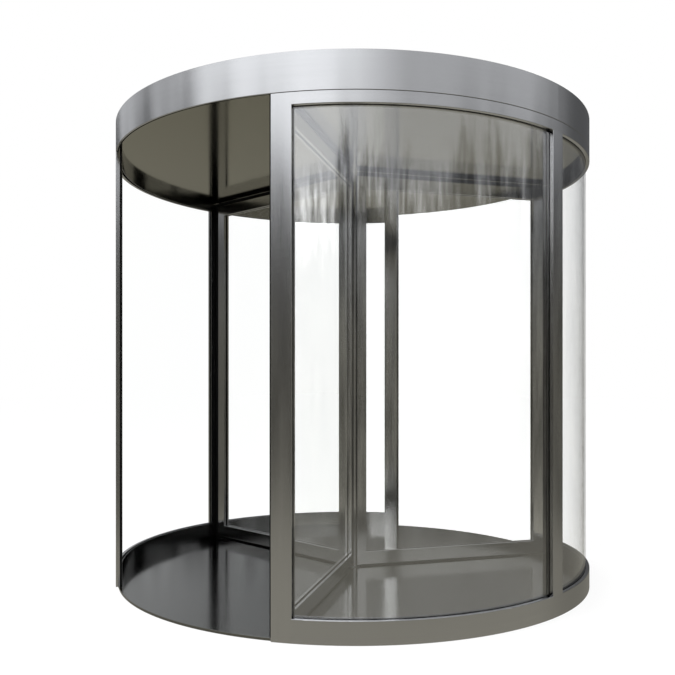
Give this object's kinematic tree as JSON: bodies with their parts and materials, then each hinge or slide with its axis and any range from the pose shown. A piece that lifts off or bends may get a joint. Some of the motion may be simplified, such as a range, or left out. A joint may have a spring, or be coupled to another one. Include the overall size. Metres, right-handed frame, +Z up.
{
  "type": "revolving door",
  "caption": "Glazed revolving door: a round drum with two openings, a canopy and a turning rotor of framed glass wings.",
  "frame": {"origin": "on the drum's axis at the level of the floor it stands on", "axes": "+Z up along the rotor's axis; people pass along Y, the front opening faces -Y; the glazed walls face +X and -X"},
  "size_m": [2.526, 2.5256, 2.374],
  "materials": {
    "brushed_steel": "brushed, satin",
    "floor_steel": "brushed, glossy",
    "ceiling_steel": "brushed, glossy",
    "bearing_steel": "turned",
    "black_paint": "matt",
    "roof_sheet": "satin",
    "clear_glass": "polished",
    "black_rubber": "matt",
    "black_brush": "matt"
  },
  "bodies": {
    "drum": {"base_rail_left": "brushed_steel", "base_rail_right": "brushed_steel", "canopy_fascia": "brushed_steel", "canopy_frame": "black_paint", "canopy_roof": "roof_sheet", "ceiling_bearing": "bearing_steel", "ceiling_panel": "ceiling_steel", "curved_glass_back_left": "clear_glass", "curved_glass_back_right": "clear_glass", "curved_glass_front_left": "clear_glass", "curved_glass_front_right": "clear_glass", "floor_bearing": "bearing_steel", "floor_plate": "floor_steel", "header_rail_left": "brushed_steel", "header_rail_right": "brushed_steel", "jamb_post_back_left": "brushed_steel", "jamb_post_back_right": "brushed_steel", "jamb_post_front_left": "brushed_steel", "jamb_post_front_right": "brushed_steel", "mullion_left": "brushed_steel", "mullion_right": "brushed_steel", "wall_rubber_left": "black_rubber", "wall_rubber_right": "black_rubber"},
    "rotor": {"centre_shaft": "brushed_steel", "wing_1_bottom_rail": "brushed_steel", "wing_1_glass": "clear_glass", "wing_1_inner_stile": "brushed_steel", "wing_1_outer_stile": "brushed_steel", "wing_1_rubber": "black_rubber", "wing_1_seals": "black_brush", "wing_1_top_rail": "brushed_steel", "wing_2_bottom_rail": "brushed_steel", "wing_2_glass": "clear_glass", "wing_2_inner_stile": "brushed_steel", "wing_2_outer_stile": "brushed_steel", "wing_2_rubber": "black_rubber", "wing_2_seals": "black_brush", "wing_2_top_rail": "brushed_steel", "wing_3_bottom_rail": "brushed_steel", "wing_3_glass": "clear_glass", "wing_3_inner_stile": "brushed_steel", "wing_3_outer_stile": "brushed_steel", "wing_3_rubber": "black_rubber", "wing_3_seals": "black_brush", "wing_3_top_rail": "brushed_steel"}
  },
  "joints": [
    {"name": "rotor_spin", "type": "hinge", "parent": "drum", "child": "rotor", "pos_m": [0, 0, 0], "axis": [0, 0, 1], "continuous": true}
  ]
}
